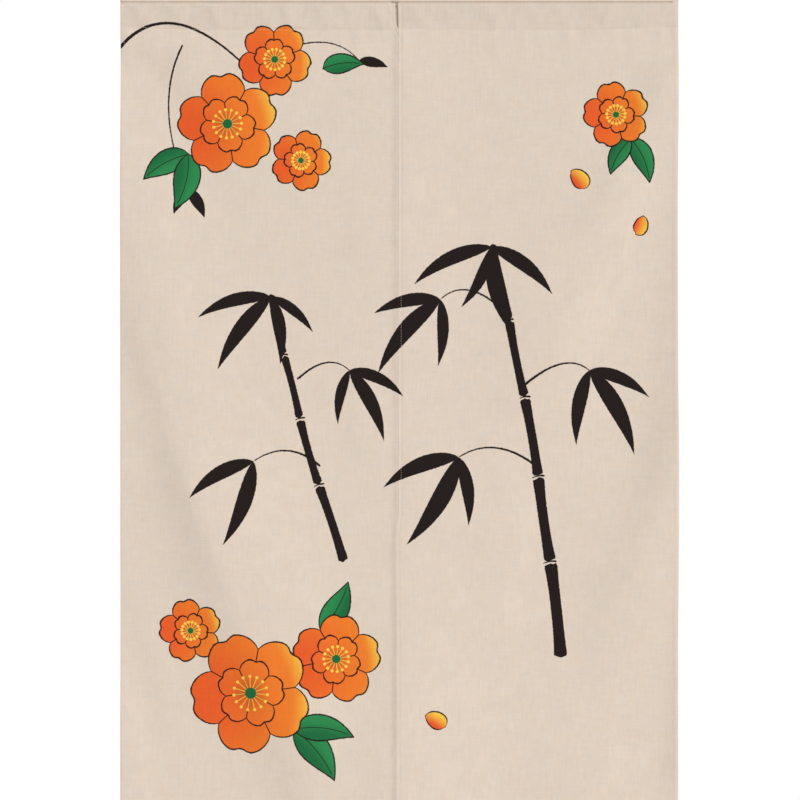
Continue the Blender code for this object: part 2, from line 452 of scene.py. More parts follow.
def clothObject(name, front, thick, flat, lined, fields):
    # a closed sheet: front grid, back grid and a rounded rim, with its flat places as a UV map
    rows, columns = front.shape[:2]
    normals = surfaceNormals(front)
    back = front + normals * thick[..., None]
    count = rows * columns
    loop = rimLoop(rows, columns)
    u = np.gradient(front, axis=1)
    v = np.gradient(front, axis=0)
    out = np.zeros_like(front)
    for rim, way in ((np.s_[:, 0], -u), (np.s_[:, -1], u), (np.s_[0], -v), (np.s_[-1], v)):
        out[rim] += way[rim] / np.linalg.norm(way[rim], axis=1, keepdims=True)
    middle = ((front + back) / 2 + out * thick[..., None] * 0.3).reshape(-1, 3)[loop]
    points = np.concatenate([front.reshape(-1, 3), back.reshape(-1, 3), middle])
    index = np.arange(count).reshape(rows, columns)
    a, b, c, d = index[1:, :-1], index[1:, 1:], index[:-1, 1:], index[:-1, :-1]
    quads = [np.stack([a, b, c, d], axis=-1).reshape(-1, 4)]
    quads.append(np.stack([d, c, b, a], axis=-1).reshape(-1, 4) + count)
    ring = np.arange(len(loop)) + 2 * count
    nextRing, nextLoop = np.roll(ring, -1), np.roll(loop, -1)
    quads.append(np.stack([ring, nextRing, nextLoop, loop], axis=-1))
    quads.append(np.stack([loop + count, nextLoop + count, nextRing, ring], axis=-1))
    quads = np.concatenate(quads)
    sheet = addMesh(name, points, quads.tolist())

    def allOver(values, size):
        # the same values on the front, the back and the rim
        values = values.reshape(-1, size)
        return np.concatenate([values, values, values[loop]])

    uv = sheet.data.uv_layers.new(name="flatCloth")
    places = allOver(flat, 2) * mm
    uv.data.foreach_set("uv", places[quads.reshape(-1)].astype(np.float32).ravel())
    facing = np.concatenate([np.ones(count), np.zeros(count), np.full(len(loop), 0.5)])
    addAttribute(sheet.data, "facing", "FLOAT", facing)
    addAttribute(sheet.data, "lined", "FLOAT", allOver(lined, 1))
    for field, values in fields.items():
        addAttribute(sheet.data, field, "FLOAT_VECTOR", allOver(values, 3))
    return sheet


# The print: bamboo in ink strokes, orange flowers and green leaves, in mm across and down
def strokePath(start, angle, length, bow):
    # angle 0 points straight down, positive to the right; bow pushes the middle sideways
    turn = math.radians(angle)
    along = np.array([math.sin(turn), math.cos(turn)])
    side = np.array([along[1], -along[0]])
    start = np.array(start, float)
    return [start, start + along * length * 0.5 + side * bow, start + along * length]


def bend(path, count=48):
    t = np.linspace(0, 1, count)[:, None]
    a, b, c = (np.array(place, float) for place in path)
    handle = 2 * b - (a + c) / 2
    return (1 - t) ** 2 * a + 2 * t * (1 - t) * handle + t**2 * c


def leafHalf(u, half):
    shape = np.clip(u, 0, 1) ** 0.72 * np.clip(1 - u, 0, 1) ** 1.12
    return half * shape / (0.39**0.72 * 0.61**1.12)


def stemHalf(u, half):
    return half * (0.80 + 0.20 * np.abs(2 * u - 1) ** 3)


def twigHalf(u, half):
    return half * (1.0 - 0.55 * np.clip(u, 0, 1))


def petalHalf(u, half):
    return half * np.sqrt(np.clip(4 * u * (1 - u), 0, 1)) * (0.8 + 0.35 * u)


profiles = {"leaf": leafHalf, "stem": stemHalf, "twig": twigHalf, "petal": petalHalf}


def leafSpray(anchor, leaves):
    return [dict(kind="leaf", path=strokePath(anchor, a, l, b), half=h) for a, l, h, b in leaves]


def bambooStem(base, top, joints, half, bow):
    # brush strokes end to end, with a small gap and a tick at each joint
    middle = [(base[0] + top[0]) / 2 + bow, (base[1] + top[1]) / 2]
    spine = bend([base, middle, top], 200)
    cuts = np.linspace(0, 1, joints + 1) ** 0.9
    strokes = []
    for joint in range(joints):
        a, b = (spine[int(cuts[joint + end] * 199)] for end in (0, 1))
        away = (b - a) / np.hypot(*(b - a))
        side = np.array([away[1], -away[0]])
        a, b = a + away * 2.2, b - away * 2.2
        size = half * (1 - 0.09 * joint)
        strokes.append(dict(kind="stem", path=[a, (a + b) / 2 + [1.2 * (-1) ** joint, 0], b], half=size))
        if joint:
            at = a - away * 2.6
            tick = [at - side * size * 1.15, at + away * 1.8, at + side * size * 1.15]
            strokes.append(dict(kind="twig", path=tick, half=1.7))
    return strokes


def twig(path, half):
    return [dict(kind="twig", path=path, half=half)]


ink = []
ink += bambooStem((246, 1004), (140, 372), 5, 10.5, 12)
ink += twig([(214, 716), (150, 684), (90, 698)], 2.1)
ink += twig([(188, 590), (246, 556), (290, 566)], 2.1)
ink += twig([(164, 480), (108, 444), (62, 458)], 1.9)
ink += leafSpray((140, 378), [(-64, 132, 11, -12), (-27, 104, 9, 7), (15, 142, 13, -9), (52, 118, 11, 10)])
ink += leafSpray((62, 458), [(-78, 104, 10, -9), (-40, 148, 13, -10), (-2, 102, 9, 6)])
ink += leafSpray((290, 566), [(66, 100, 10, 9), (28, 146, 13, 10), (-10, 116, 11, -7)])
ink += leafSpray((90, 698), [(-68, 124, 12, -11), (-31, 156, 14, 9), (8, 106, 10, 7)])
ink += bambooStem((-84, 858), (-196, 448), 4, 8.0, -8)
ink += twig([(-120, 712), (-170, 688), (-222, 704)], 1.9)
ink += twig([(-156, 580), (-112, 554), (-76, 566)], 1.8)
ink += leafSpray((-196, 454), [(-74, 116, 10, -11), (-36, 138, 12, -8), (8, 104, 10, 7), (50, 84, 8, 7)])
ink += leafSpray((-222, 704), [(-60, 112, 11, -10), (-20, 136, 12, 8)])
ink += leafSpray((-76, 566), [(64, 92, 9, 9), (26, 120, 11, 8), (-12, 84, 8, -6)])
ink += twig([(-426, 74), (-330, 40), (-206, 132)], 2.6)
ink += twig([(-330, 70), (-352, 170), (-322, 292)], 1.6)
ink += twig([(-236, 108), (-130, 66), (-60, 96)], 1.6)
ink += leafSpray((-322, 290), [(-30, 44, 8, -3), (30, 50, 9, 3)])
ink += leafSpray((-62, 95), [(78, 46, 8, 3)])

green = leafSpray((-322, 236), [(-60, 78, 18, -6), (-14, 86, 20, 7)])
green += leafSpray((-116, 106), [(96, 62, 15, 5)])
green += leafSpray((-160, 1110), [(38, 100, 22, 7), (82, 92, 20, 8)])
green += leafSpray((-120, 960), [(150, 84, 19, -6)])
green += leafSpray((352, 214), [(24, 72, 16, 6), (-30, 62, 14, -5)])

petals = [
    dict(kind="petal", path=strokePath((262, 262), 40, 34, 2), half=13),
    dict(kind="petal", path=strokePath((372, 330), -20, 30, 2), half=11),
    dict(kind="petal", path=strokePath((40, 1090), 60, 34, 2), half=13),
]

blooms = {
    "bloomBack": [
        dict(at=(-150, 246), radius=48, turn=40),
        dict(at=(-190, 92), radius=58, turn=-20),
        dict(at=(-96, 1004), radius=70, turn=25),
        dict(at=(-318, 962), radius=50, turn=5),
    ],
    "bloomFront": [
        dict(at=(-262, 190), radius=80, turn=10),
        dict(at=(-226, 1056), radius=96, turn=-8),
        dict(at=(330, 176), radius=52, turn=5),
    ],
}

printLayers = {"ink": (ink, 7), "green": (green, 3), "petal": (petals, 1)}


def strokeField(stroke, across, drop):
    # signed distance to the side, half width there and share of the length
    line = bend(stroke["path"])
    steps = np.diff(line, axis=0)
    lengths = np.hypot(steps[:, 0], steps[:, 1])
    before = np.concatenate([[0], np.cumsum(lengths)])
    px = across[:, None] - line[None, :-1, 0]
    pd = drop[:, None] - line[None, :-1, 1]
    run = (px * steps[:, 0] + pd * steps[:, 1]) / lengths**2
    held = np.clip(run, 0, 1)
    held[:, 0] = np.minimum(run[:, 0], 1)
    held[:, -1] = np.maximum(run[:, -1], 0)
    ox = px - held * steps[:, 0]
    od = pd - held * steps[:, 1]
    best = np.argmin(np.hypot(ox, od) + 1e-6 * np.abs(held), axis=1)
    rows = np.arange(len(across))
    side = (ox[rows, best] * steps[best, 1] - od[rows, best] * steps[best, 0]) / lengths[best]
    share = (before[best] + held[rows, best] * lengths[best]) / before[-1]
    half = profiles[stroke["kind"]](share, stroke["half"])
    past = np.maximum(-share, share - 1) * before[-1]
    if stroke["kind"] == "stem":
        rounding = np.clip(1 - np.minimum(share, 1 - share) * before[-1] / 4.0, 0, 1)
        half = half - 3.0 * rounding**2
    return side, np.where(past > 0, -past, half), share, past


def grown(mask):
    wide = mask.copy()
    wide[1:] |= mask[:-1]
    wide[:-1] |= mask[1:]
    wider = wide.copy()
    wider[:, 1:] |= wide[:, :-1]
    wider[:, :-1] |= wide[:, 1:]
    return wider


def strokeLayers(name, strokes, count, across, drop):
    # strokes that would touch go on separate layers, so each keeps its own clean outline
    layers = [np.tile([50.0, -50.0, 0.5], across.shape + (1,)) for _ in range(count)]
    taken = [np.zeros(across.shape, bool) for _ in range(count)]
    for stroke in strokes:
        ends = np.array(stroke["path"], float)
        low, high = ends.min(axis=0) - 40, ends.max(axis=0) + 40
        near = (across > low[0]) & (across < high[0]) & (drop > low[1]) & (drop < high[1])
        if not near.any():
            continue
        side, half, share, past = strokeField(stroke, across[near], drop[near])
        inside = (np.abs(side) < np.maximum(half, 0) + 8) & (past < 8)
        zone = np.zeros(across.shape, bool)
        zone[near] = inside
        wide = grown(zone)
        free = [k for k in range(count) if not (wide & taken[k]).any()]
        if not free:
            raise SystemExit(f"{name} needs more layers")
        taken[free[0]] |= wide
        layers[free[0]][zone] = np.stack([side, half, share], axis=-1)[inside]
    return {f"{name}{k + 1}": layer for k, layer in enumerate(layers)}


def bloomLayers(across, drop):
    fields = {}
    for name, rows in blooms.items():
        place = np.full(across.shape + (3,), 9.0)
        tone = np.zeros(across.shape + (3,))
        for bloom in rows:
            x = (across - bloom["at"][0]) / bloom["radius"]
            z = (drop - bloom["at"][1]) / bloom["radius"]
            zone = np.hypot(x, z) < 1.3
            turn = math.radians(bloom["turn"])
            turnedX = x * math.cos(turn) + z * math.sin(turn)
            turnedZ = z * math.cos(turn) - x * math.sin(turn)
            place[zone] = np.stack([turnedX, turnedZ, 0 * x], axis=-1)[zone]
            tone[zone] = np.stack([0.85 * x - 0.15 * z, 0 * x + 1.0, 0 * x + bloom["radius"]], axis=-1)[zone]
        fields[name] = place
        fields[name + "Tone"] = tone
    return fields


def printFields(across, drop):
    fields = {}
    for name, (strokes, count) in printLayers.items():
        fields.update(strokeLayers(name, strokes, count, across, drop))
    fields.update(bloomLayers(across, drop))
    return fields


# Materials
colours = {  # as seen on the cloth, 0 to 255
    "ink": (31, 22, 20),
    "leafDark": (26, 104, 58),
    "leafLight": (44, 134, 76),
    "orangeDeep": (228, 84, 38),
    "orange": (237, 124, 42),
    "yellow": (244, 196, 74),
    "pollen": (249, 206, 82),
    "thread": (214, 199, 180),
    "floor": (232, 230, 226),
}


def tint(name, lift=1.0):
    # from a screen colour to the shader's own light values
    values = [part / 255 for part in colours[name]]
    linear = [v / 12.92 if v <= 0.04045 else ((v + 0.055) / 1.055) ** 2.4 for v in values]
    return [min(1.0, v * lift) for v in linear] + [1.0]


def nodeKit(material):
    material.use_nodes = True
    tree = material.node_tree

    def feed(node, slot, value):
        if isinstance(value, bpy.types.NodeSocket):
            tree.links.new(value, node.inputs[slot])
        else:
            node.inputs[slot].default_value = value

    def calc(operation, *values):
        node = tree.nodes.new("ShaderNodeMath")
        node.operation = operation
        for slot, value in enumerate(values):
            feed(node, slot, value)
        return node.outputs[0]

    def times(*values):
        total = values[0]
        for value in values[1:]:
            total = calc("MULTIPLY", total, value)
        return total

    def plus(first, second):
        return calc("ADD", first, second)

    def less(first, second):
        return calc("SUBTRACT", first, second)

    def size(value):
        # without its sign
        return calc("ABSOLUTE", value)

    def scaled(value, factor, start):
        return calc("MULTIPLY_ADD", value, factor, start)

    def soften(value, low, high, start=0.0, end=1.0):
        node = tree.nodes.new("ShaderNodeMapRange")
        node.interpolation_type = "SMOOTHSTEP"
        for slot, number in enumerate((value, low, high, start, end)):
            feed(node, slot, number)
        return node.outputs[0]

    def mix(share, first, second):
        node = tree.nodes.new("ShaderNodeMix")
        node.data_type = "RGBA"
        feed(node, 0, share)
        feed(node, 6, first)
        feed(node, 7, second)
        return node.outputs[2]

    def attribute(name):
        node = tree.nodes.new("ShaderNodeAttribute")
        node.attribute_name = name
        return node

    def split(vector):
        node = tree.nodes.new("ShaderNodeSeparateXYZ")
        feed(node, 0, vector)
        return node.outputs

    def join(x, y, z):
        node = tree.nodes.new("ShaderNodeCombineXYZ")
        for slot, value in enumerate((x, y, z)):
            feed(node, slot, value)
        return node.outputs[0]

    def noise(vector, scale, detail=2.0, roughness=0.5):
        node = tree.nodes.new("ShaderNodeTexNoise")
        node.noise_dimensions = "3D"
        feed(node, "Vector", vector)
        feed(node, "Scale", scale)
        feed(node, "Detail", detail)
        feed(node, "Roughness", roughness)
        return node.outputs["Fac"]

    def flatPlace():
        node = tree.nodes.new("ShaderNodeUVMap")
        node.uv_map = "flatCloth"
        return node.outputs[0]

    return SimpleNamespace(tree=tree, feed=feed, calc=calc, times=times, plus=plus, less=less, size=size,
                           scaled=scaled, soften=soften, mix=mix, attribute=attribute, split=split,
                           join=join, noise=noise, flatPlace=flatPlace)


weave = {
    "pitch": 0.00095,  # metres from thread to thread
    "slub": 0.048,  # how much thick and thin threads change the colour
    "slubScale": (420.0, 30.0),  # across and along the threads
    "streak": 0.10,  # the same for runs of several threads together
    "streakScale": (150.0, 45.0),
    "mottle": 0.042,
    "mottleScale": 22.0,
    # painted shade and highlight: how much the colour follows the weave's height, darker between the threads
    # and lighter on their crowns
    "thread": 0.05,
    "bump": 0.00018,
    # painted shade: the doubled pocket cloth is painted this much darker, standing in for the light from
    # behind that it lets through less
    "lined": 0.045,  # cloth with another layer close behind it lets less light through
    "warm": (0.738, 0.618, 0.507, 1.0),
    "cool": (0.724, 0.624, 0.529, 1.0),
    "toneScale": 60.0,
}


def plainWeave(kit, u, v):
    # rounded threads that pass over and under each other
    wave = math.pi / weave["pitch"]
    over = kit.calc("SINE", kit.times(u, wave))
    under = kit.calc("SINE", kit.times(v, wave))
    onTop = kit.soften(kit.times(over, under), -0.15, 0.15)
    warp = kit.size(over)
    weft = kit.size(under)
    return kit.scaled(kit.less(warp, weft), onTop, weft)


def threadNoise(kit, u, v, across, along, place):
    # noise drawn out along the threads, once for each direction
    upright = kit.join(kit.times(u, across), kit.times(v, along), place)
    level = kit.join(kit.times(u, along), kit.times(v, across), place + 5.0)
    upright = kit.noise(upright, 1.0, 3.0, 0.6)
    level = kit.noise(level, 1.0, 3.0, 0.6)
    return kit.scaled(upright, 1.2, kit.times(level, 0.8))


def weaveNodes(kit):
    # thick and thin threads both ways, the weave itself, slow mottling, painted shade between the threads and
    # painted shade over the doubled pocket
    u, v, _ = kit.split(kit.flatPlace())
    threads = threadNoise(kit, u, v, *weave["slubScale"], 0.0)
    streaks = threadNoise(kit, u, v, *weave["streakScale"], 11.0)
    woven = plainWeave(kit, u, v)
    mottle = kit.noise(kit.join(u, v, 2.0), weave["mottleScale"], 3.0, 0.55)
    change = kit.scaled(kit.less(threads, 1.0), weave["slub"] * 2, 1.0)
    change = kit.scaled(kit.less(streaks, 1.0), weave["streak"], change)
    change = kit.scaled(kit.less(mottle, 0.5), weave["mottle"] * 2, change)
    # painted shade between the threads and painted highlight on their crowns
    change = kit.scaled(kit.less(woven, 0.64), weave["thread"], change)
    # painted shade over the doubled pocket front
    change = kit.scaled(kit.attribute("lined").outputs["Fac"], -weave["lined"], change)
    height = kit.scaled(woven, 0.6, threads)
    tone = kit.noise(kit.join(u, v, 6.0), weave["toneScale"], 3.0, 0.55)
    ground = kit.mix(kit.soften(tone, 0.35, 0.65), weave["warm"], weave["cool"])
    return change, height, ground


def scaleColour(kit, colour, factor):
    node = kit.tree.nodes.new("ShaderNodeVectorMath")
    node.operation = "SCALE"
    kit.feed(node, 0, colour)
    kit.feed(node, "Scale", factor)
    return node.outputs[0]


def finishCloth(kit, colour, height):
    shader = kit.tree.nodes["Principled BSDF"]
    shader.inputs["Roughness"].default_value = 0.92
    shader.inputs["Specular IOR Level"].default_value = 0.18
    shader.inputs["Sheen Weight"].default_value = 0.06
    shader.inputs["Sheen Roughness"].default_value = 0.5
    bump = kit.tree.nodes.new("ShaderNodeBump")
    bump.inputs["Strength"].default_value = 0.6
    bump.inputs["Distance"].default_value = weave["bump"]
    kit.feed(bump, "Height", height)
    kit.tree.links.new(bump.outputs[0], shader.inputs["Normal"])
    kit.feed(shader, "Base Color", colour)


def clothMaterial():
    material = bpy.data.materials.new("linenCloth")
    kit = nodeKit(material)
    change, height, ground = weaveNodes(kit)
    finishCloth(kit, scaleColour(kit, ground, change), height)
    return material


edge = {"soft": 0.55, "line": 1.15, "wobble": 0.9}  # mm


def strokeGap(kit, layer):
    # mm from the stroke's edge, negative inside
    side, half, share = kit.split(kit.attribute(layer).outputs["Vector"])
    gap = kit.less(kit.size(side), half)
    return gap, side, share


def cover(kit, gap):
    return kit.soften(gap, -edge["soft"], edge["soft"], 1.0, 0.0)


def outline(kit, gap, half):
    return cover(kit, kit.less(kit.size(gap), half))


def paint(kit, state, mask, colour):
    # state holds the colour so far; the back of the cloth takes the print only faintly
    state["colour"] = kit.mix(kit.times(mask, state["strength"]), state["colour"], colour)


# sizes as shares of a flower's radius, thread and dots in mm
flower = {
    "petals": 5,
    "notchWide": 0.12,
    "notchDeep": 0.075,
    "innerRing": 0.56,
    "stamens": 15,
    "threadEnd": 0.25,
    "threadHalf": 0.5,
    "dotAt": 0.27,
    "dotRadius": 2.3,
    "heart": 0.09,
}


def bloomRing(kit, state, angle, radius, tone, size, gain, shadow):
    # one ring of petals: fill, petal lines and outline
    petal = 2 * math.pi / flower["petals"]
    share = kit.less(kit.calc("FRACT", kit.calc("DIVIDE", angle, petal)), 0.5)
    local = kit.times(share, petal)
    lobe = kit.calc("POWER", kit.calc("COSINE", kit.times(local, 1.95)), 0.30)
    notch = kit.calc("POWER", kit.calc("DIVIDE", local, flower["notchWide"]), 2.0)
    notch = kit.calc("EXPONENT", kit.times(notch, -1.0))
    notch = kit.scaled(notch, -flower["notchDeep"], 1.0)
    reach = kit.times(lobe, notch, 0.98 * size)
    gap = kit.times(kit.less(radius, reach), kit.times(tone["radius"], 0.9))
    gap = kit.plus(gap, state["wobble"])
    outer = kit.calc("DIVIDE", radius, size)
    shade = kit.scaled(tone["glow"], 0.50, 0.42 - 0.5 * gain)
    shade = kit.scaled(outer, gain, shade)
    body = kit.mix(kit.soften(shade, 0.0, 0.72), tint("orangeDeep"), tint("orange"))
    body = kit.mix(kit.soften(shade, 0.72, 1.05), body, tint("yellow"))
    heart = kit.scaled(kit.soften(outer, 0.0, 0.6, 1.0, 0.0), -shadow, 1.0)
    fill = kit.times(cover(kit, gap), tone["mask"])
    paint(kit, state, fill, scaleColour(kit, body, heart))
    away = kit.less(petal / 2, kit.size(local))
    side = kit.times(kit.calc("SINE", away), radius, tone["radius"])
    line = kit.times(cover(kit, kit.less(side, edge["line"] * 0.75)), fill)
    paint(kit, state, line, tint("ink"))
    rim = kit.times(outline(kit, gap, edge["line"]), tone["mask"])
    paint(kit, state, rim, tint("ink"))


def bloomNodes(kit, state, layer):
    x, z, _ = kit.split(kit.attribute(layer).outputs["Vector"])
    glow, mask, size = kit.split(kit.attribute(layer + "Tone").outputs["Vector"])
    tone = {"glow": glow, "mask": kit.calc("GREATER_THAN", mask, 0.99), "radius": size}
    radius = kit.calc("SQRT", kit.plus(kit.times(x, x), kit.times(z, z)))
    angle = kit.calc("ARCTAN2", z, x)
    bloomRing(kit, state, angle, radius, tone, 1.0, 0.35, 0.0)
    turned = kit.plus(angle, math.pi / flower["petals"])
    bloomRing(kit, state, turned, radius, tone, flower["innerRing"], 0.25, 0.30)
    spoke = 2 * math.pi / flower["stamens"]
    share = kit.less(kit.calc("FRACT", kit.calc("DIVIDE", angle, spoke)), 0.5)
    arc = kit.times(share, kit.times(radius, spoke), size)
    thread = cover(kit, kit.less(kit.size(arc), flower["threadHalf"]))
    thread = kit.times(thread, kit.calc("LESS_THAN", radius, flower["threadEnd"]))
    paint(kit, state, kit.times(thread, tone["mask"]), tint("pollen"))
    out = kit.times(kit.less(radius, flower["dotAt"]), size)
    dot = kit.calc("SQRT", kit.plus(kit.times(arc, arc), kit.times(out, out)))
    dot = cover(kit, kit.less(dot, flower["dotRadius"]))
    paint(kit, state, kit.times(dot, tone["mask"]), tint("pollen"))
    heart = cover(kit, kit.times(kit.less(radius, flower["heart"]), size))
    paint(kit, state, kit.times(heart, tone["mask"]), tint("leafDark"))


def printedMaterial():
    material = bpy.data.materials.new("printedLinen")
    kit = nodeKit(material)
    change, height, ground = weaveNodes(kit)
    u, v, _ = kit.split(kit.flatPlace())
    ragged = kit.noise(kit.join(u, v, 9.0), 260.0, 2.0, 0.6)
    wobble = kit.times(kit.less(ragged, 0.5), edge["wobble"] * 2)
    facing = kit.attribute("facing").outputs["Fac"]
    strength = kit.soften(facing, 0.2, 0.9, 0.13, 1.0)
    state = {"colour": ground, "strength": strength, "wobble": wobble}
    gap = None
    for layer in range(printLayers["ink"][1]):
        one, _, _ = strokeGap(kit, f"ink{layer + 1}")
        gap = one if gap is None else kit.calc("MINIMUM", gap, one)
    paint(kit, state, cover(kit, kit.plus(gap, wobble)), tint("ink"))

    def filled(layer, low, high, first, second):
        # a stroke's gap, side, share and cover, with its fill painted
        gap, side, share = strokeGap(kit, layer)
        gap = kit.plus(gap, wobble)
        fill = cover(kit, gap)
        paint(kit, state, fill, kit.mix(kit.soften(side, low, high), tint(first), tint(second)))
        return gap, side, share, fill

    for layer in range(printLayers["green"][1]):
        gap, side, share, fill = filled(f"green{layer + 1}", -14.0, 14.0, "leafDark", "leafLight")
        rib = cover(kit, kit.less(kit.size(side), 0.6))
        rib = kit.times(rib, fill, kit.calc("LESS_THAN", share, 0.9))
        paint(kit, state, rib, tint("ink"))
        paint(kit, state, outline(kit, gap, edge["line"]), tint("ink"))
    for layer in range(printLayers["petal"][1]):
        gap = filled(f"petal{layer + 1}", -10.0, 12.0, "orangeDeep", "yellow")[0]
        paint(kit, state, outline(kit, gap, edge["line"]), tint("ink"))
    for layer in blooms:
        bloomNodes(kit, state, layer)
    finishCloth(kit, scaleColour(kit, state["colour"], change), height)
    return material


def threadMaterial():
    material = bpy.data.materials.new("sewingThread")
    kit = nodeKit(material)
    place = kit.tree.nodes.new("ShaderNodeTexCoord").outputs["Object"]
    twist = kit.noise(place, 1400.0)
    shader = kit.tree.nodes["Principled BSDF"]
    shader.inputs["Roughness"].default_value = 0.7
    shader.inputs["Specular IOR Level"].default_value = 0.3
    kit.feed(shader, "Base Color", kit.mix(twist, tint("thread", 0.9), tint("thread", 1.08)))
    return material


print("materials ready")


# Panels
def addPanel(side, material):
    across, drop, shown, thick = panelGrid(side)
    push = panelFace(side, across, drop)
    front = np.stack([across, -push, -shown], axis=-1)
    flat = np.stack([across, -drop], axis=-1)
    name = "panelLeft" if side == "left" else "panelRight"
    # painted shade: marks the pocket's doubled front above the seam, to be painted darker
    lined = ease(1.1, -1.9, drop - seamAt(across))
    sheet = clothObject(name, front, thick, flat, lined, printFields(across, drop))
    sheet.data.materials.append(material)
    return sheet


printed = printedMaterial()
plain = clothMaterial()
thread = threadMaterial()
panelLeft = addPanel("left", printed)
panelRight = addPanel("right", printed)
print("panels hung:", len(panelLeft.data.polygons) + len(panelRight.data.polygons), "faces")


# Heading band: flat strips above and below, standing back between them round the rod's place
band = {
    "bottom": 50.0,
    "pocketTop": 9.5,
    "pocketBottom": 42.0,
    "depth": 15.0,
    "squareness": 3.0,
    "sag": 0.7,
    "sagLength": 310.0,
    "columns": 110,
    "pits": [  # loose places behind the left panel's curled corner and the top of the slot
        dict(at=(-10.6, 4.7), wide=3.6, tall=1.6, deep=4.0),
        dict(at=(-5.0, 7.2), wide=2.8, tall=4.0, deep=4.6),
    ],
    # with nothing to hold it out, the pocket's back hangs close at the slot
    "slack": dict(at=-3.8, wide=34.0, share=0.93),
    # the tucks of the pocket's front run on over its back, slanting the other way
    "tucks": dict(aside=32.0, slant=-0.5, width=(12.0, 20.0), push=1.3),
}


def bandSection():
    middle = (band["pocketTop"] + band["pocketBottom"]) / 2
    half = (band["pocketBottom"] - band["pocketTop"]) / 2
    power = 2 / band["squareness"]
    angles = np.linspace(0, math.pi, 25)
    rise = np.sign(np.cos(angles)) * np.abs(np.cos(angles)) ** power
    arc = np.stack([middle - half * rise, band["depth"] * np.abs(np.sin(angles)) ** power], axis=-1)
    lip = [(0.0, -0.3), (0.4, -1.2), (1.1, -1.8), (2.1, -1.9), (3.0, -1.8), (3.6, -1.2), (4.1, -0.3)]
    top = lip + [(4.8, 0.0), (5.8, 0.0), (7.0, 0.0), (8.4, 0.0)]
    low = [(drop, 0.0) for drop in (43.5, 45.0, 46.5, 48.0, 49.4, band["bottom"])]
    return np.concatenate([top, arc, low])


def addBand(material):
    section = bandSection()
    sides = np.linspace(24.0, panel["outer"], band["columns"])
    across = np.concatenate([-sides[::-1], np.arange(-22.8, 24.0, 1.2), sides])
    back = np.repeat(section[:, 1:2], len(across), axis=1)
    drop = np.repeat(section[:, 0:1], len(across), axis=1)
    spread = np.tile(across, (len(section), 1))
    sag = band["sag"] * np.sin(2 * math.pi * spread / band["sagLength"])
    pucker = ripples(spread, [(0.35, 6.1, drop * 0.05), (0.25, 9.3, 1.0)])
    tuck = band["tucks"]
    slanted = spread - tuck["aside"] - tuck["slant"] * drop
    tucks = sum(push * bump(slanted - place, *tuck["width"]) for place, push in pocketTucks)
    back = back + (sag + pucker - tuck["push"] * tucks) * back / band["depth"]
    slack = band["slack"]
    close = 1.0 - slack["share"] * trough(spread - slack["at"], slack["wide"])
    back = np.where(back > 0, back * close, back)
    for pit in band["pits"]:
        away = ((spread - pit["at"][0]) / pit["wide"]) ** 2 + ((drop - pit["at"][1]) / pit["tall"]) ** 2
        back = back + pit["deep"] * np.exp(-away)
    front = np.stack([spread, back, -drop], axis=-1)
    length = np.concatenate([[0], np.cumsum(np.hypot(*np.diff(section, axis=0).T))])
    flat = np.stack([spread, -np.repeat(length[:, None], len(across), axis=1)], axis=-1)
    thick = np.full(spread.shape, cloth["thick"])
    sheet = clothObject("headingBand", front, thick, flat, np.zeros(spread.shape), {})
    sheet.data.materials.append(material)
    return sheet


headingBand = addBand(plain)
print("heading band made")


# Sewing: one stitch modelled, then laid in rows on the cloth
stitch = {"long": 2.7, "wide": 0.55, "high": 0.36, "pitch": 3.4, "sunk": 0.06}


def oneStitch():
    deselect()
    bpy.ops.mesh.primitive_uv_sphere_add(segments=6, ring_count=4, radius=0.5, location=(0, 0, 0))
    seed = bpy.context.object
    bpy.ops.object.mode_set(mode="EDIT")
    bpy.ops.transform.resize(value=(stitch["long"], stitch["wide"], stitch["high"]))
    bpy.ops.object.mode_set(mode="OBJECT")
    points = np.array([vertex.co[:] for vertex in seed.data.vertices])
    faces = [list(face.vertices) for face in seed.data.polygons]
    bpy.data.objects.remove(seed, do_unlink=True)
    return points, faces


def stitchRow(path):
    # even places along a line of points in mm
    lengths = np.concatenate([[0], np.cumsum(np.linalg.norm(np.diff(path, axis=0), axis=1))])
    places = np.arange(stitch["pitch"], lengths[-1] - stitch["pitch"] / 2, stitch["pitch"])

    def at(distance):
        return np.stack([np.interp(distance, lengths, path[:, k]) for k in range(3)], axis=-1)

    along = at(places + 0.5) - at(places - 0.5)
    return at(places), along / np.linalg.norm(along, axis=1, keepdims=True)


def sewRows(name, rows, material):
    points, faces = oneStitch()
    allPoints, allFaces = [], []
    for path, outward in rows:
        places, along = stitchRow(path)
        up = np.tile(np.array([0.0, outward, 0.0]), (len(places), 1))
        side = np.cross(up, along)
        side = side / np.linalg.norm(side, axis=1, keepdims=True)
        up = np.cross(along, side)
        for place, a, s, n in zip(places, along, side, up):
            start = len(allPoints) * len(points)
            raised = points[:, 2:3] - stitch["sunk"]
            allPoints.append(place + points[:, 0:1] * a + points[:, 1:2] * s + raised * n)
            allFaces += [[corner + start for corner in face] for face in faces]
    stitches = addMesh(name, np.concatenate(allPoints), allFaces)
    stitches.data.materials.append(material)
    return stitches


def sewnLine(side, across, drop, behind):
    push = panelFace(side, across, drop)
    if behind:
        inner = np.abs(across - innerEdge(side, drop))
        push = push - panelThickness(inner, np.abs(across - outerEdge(side)), drop)
    path = np.stack([across, -push, -drop], axis=-1)
    return path, 1.0 if behind else -1.0


